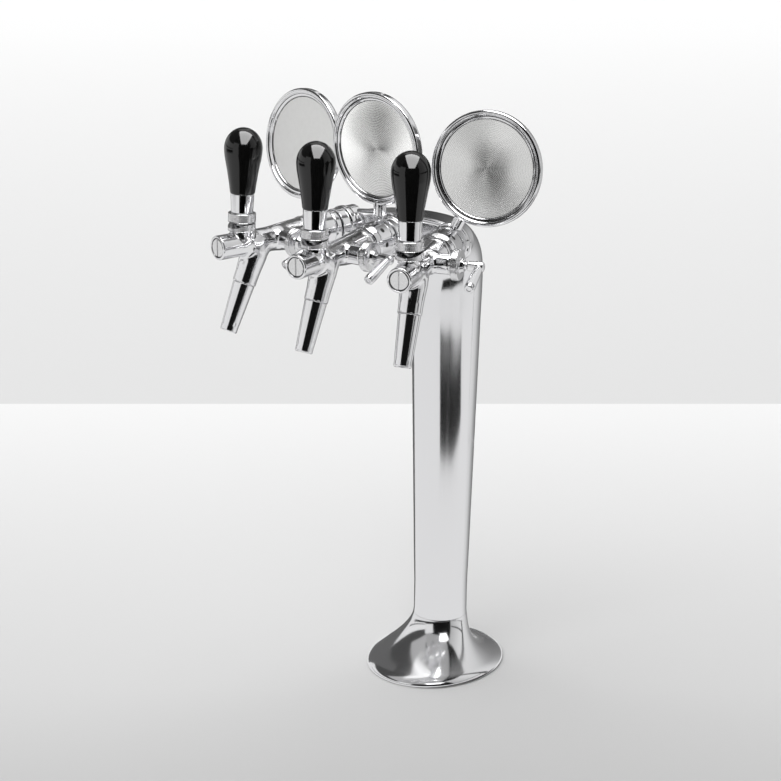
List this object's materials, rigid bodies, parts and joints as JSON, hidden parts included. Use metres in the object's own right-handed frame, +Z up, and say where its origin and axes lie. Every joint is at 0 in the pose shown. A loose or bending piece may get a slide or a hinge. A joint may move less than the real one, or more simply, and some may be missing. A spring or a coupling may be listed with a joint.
{
  "type": "beer tower dispenser",
  "caption": "Chromed beer tower: a flared oval base, a column sweeping forward into a wide head, taps with compensators and black handles, and round badges above.",
  "frame": {"origin": "centre of the base's footprint, on the counter", "axes": "+Z up; -Y to the front, where the taps point; +X to the right of someone facing the taps"},
  "size_m": [0.2982, 0.2865, 0.573],
  "materials": {
    "polished_chrome": "mirror polished",
    "knurled_chrome": "knurled",
    "turned_steel": "turned in fine circles",
    "stainless": "machined",
    "steel_screws": "machined",
    "zinc_plate": "zinc plated",
    "black_gloss": "gloss",
    "white_plastic": "matte",
    "line_tubing": "satin",
    "gasket_rubber": "matte",
    "seal_rubber": "matte"
  },
  "bodies": {
    "tower": {"base": "polished_chrome", "base_plate": "zinc_plate", "plate_screws": "steel_screws", "base_gasket": "gasket_rubber", "column_head": "polished_chrome", "beer_lines": "line_tubing", "shank_seals": "seal_rubber", "tap_body_left": "polished_chrome", "tap_body_middle": "polished_chrome", "tap_body_right": "polished_chrome", "end_cap_left": "polished_chrome", "end_cap_middle": "polished_chrome", "end_cap_right": "polished_chrome", "spout_left": "polished_chrome", "spout_middle": "polished_chrome", "spout_right": "polished_chrome", "bonnet_left": "knurled_chrome", "bonnet_middle": "knurled_chrome", "bonnet_right": "knurled_chrome", "compensator_gland_left": "knurled_chrome", "compensator_gland_middle": "knurled_chrome", "compensator_gland_right": "knurled_chrome", "coupling_nut_left": "polished_chrome", "coupling_nut_middle": "polished_chrome", "coupling_nut_right": "polished_chrome", "shank_left": "stainless", "shank_middle": "stainless", "shank_right": "stainless", "badge_bracket_left": "polished_chrome", "badge_bracket_middle": "polished_chrome", "badge_bracket_right": "polished_chrome", "badge_housing_left": "polished_chrome", "badge_housing_middle": "polished_chrome", "badge_housing_right": "polished_chrome", "badge_plate_left": "turned_steel", "badge_plate_middle": "turned_steel", "badge_plate_right": "turned_steel"},
    "handle_left": {"lever_left": "stainless", "lock_ring_left": "knurled_chrome", "ferrule_left": "polished_chrome", "grip_left": "black_gloss"},
    "valve_plunger_left": {"plunger_left": "stainless"},
    "compensator_lever_left": {"compensator_lever_left": "polished_chrome"},
    "flow_cone_left": {"compensator_cone_left": "white_plastic"},
    "handle_middle": {"lever_middle": "stainless", "lock_ring_middle": "knurled_chrome", "ferrule_middle": "polished_chrome", "grip_middle": "black_gloss"},
    "valve_plunger_middle": {"plunger_middle": "stainless"},
    "compensator_lever_middle": {"compensator_lever_middle": "polished_chrome"},
    "flow_cone_middle": {"compensator_cone_middle": "white_plastic"},
    "handle_right": {"lever_right": "stainless", "lock_ring_right": "knurled_chrome", "ferrule_right": "polished_chrome", "grip_right": "black_gloss"},
    "valve_plunger_right": {"plunger_right": "stainless"},
    "compensator_lever_right": {"compensator_lever_right": "polished_chrome"},
    "flow_cone_right": {"compensator_cone_right": "white_plastic"}
  },
  "joints": [
    {"name": "handle_pull_left", "type": "hinge", "parent": "tower", "child": "handle_left", "pos_m": [-0.08931, -0.17553, 0.456], "axis": [0.9617, -0.274, 0], "range_deg": [0, 20]},
    {"name": "valve_slide_left", "type": "slide", "parent": "tower", "child": "valve_plunger_left", "axis": [0.274, 0.9617, 0], "range_m": [0, 0.0044]},
    {"name": "compensator_turn_left", "type": "hinge", "parent": "tower", "child": "compensator_lever_left", "pos_m": [-0.07849, -0.13754, 0.442], "axis": [0.9617, -0.274, 0], "range_deg": [0, 110]},
    {"name": "flow_cone_slide_left", "type": "slide", "parent": "tower", "child": "flow_cone_left", "axis": [0.274, 0.9617, 0], "range_m": [0, 0.0037]},
    {"name": "handle_pull_middle", "type": "hinge", "parent": "tower", "child": "handle_middle", "pos_m": [0, -0.188, 0.456], "axis": [1, 0, 0], "range_deg": [0, 20]},
    {"name": "valve_slide_middle", "type": "slide", "parent": "tower", "child": "valve_plunger_middle", "axis": [0, 1, 0], "range_m": [0, 0.0044]},
    {"name": "compensator_turn_middle", "type": "hinge", "parent": "tower", "child": "compensator_lever_middle", "pos_m": [0, -0.1485, 0.442], "axis": [1, 0, 0], "range_deg": [0, 110]},
    {"name": "flow_cone_slide_middle", "type": "slide", "parent": "tower", "child": "flow_cone_middle", "axis": [0, 1, 0], "range_m": [0, 0.0037]},
    {"name": "handle_pull_right", "type": "hinge", "parent": "tower", "child": "handle_right", "pos_m": [0.08931, -0.17553, 0.456], "axis": [0.9617, 0.274, 0], "range_deg": [0, 20]},
    {"name": "valve_slide_right", "type": "slide", "parent": "tower", "child": "valve_plunger_right", "axis": [-0.274, 0.9617, 0], "range_m": [0, 0.0044]},
    {"name": "compensator_turn_right", "type": "hinge", "parent": "tower", "child": "compensator_lever_right", "pos_m": [0.07849, -0.13754, 0.442], "axis": [0.9617, 0.274, 0], "range_deg": [0, 110]},
    {"name": "flow_cone_slide_right", "type": "slide", "parent": "tower", "child": "flow_cone_right", "axis": [-0.274, 0.9617, 0], "range_m": [0, 0.0037]}
  ],
  "couplings": [
    {"joint": "valve_slide_left", "follows": "handle_pull_left", "m_per_rad": 0.01244},
    {"joint": "flow_cone_slide_left", "follows": "compensator_turn_left", "m_per_rad": 0.001877},
    {"joint": "valve_slide_middle", "follows": "handle_pull_middle", "m_per_rad": 0.01244},
    {"joint": "flow_cone_slide_middle", "follows": "compensator_turn_middle", "m_per_rad": 0.001877},
    {"joint": "valve_slide_right", "follows": "handle_pull_right", "m_per_rad": 0.01244},
    {"joint": "flow_cone_slide_right", "follows": "compensator_turn_right", "m_per_rad": 0.001877}
  ]
}
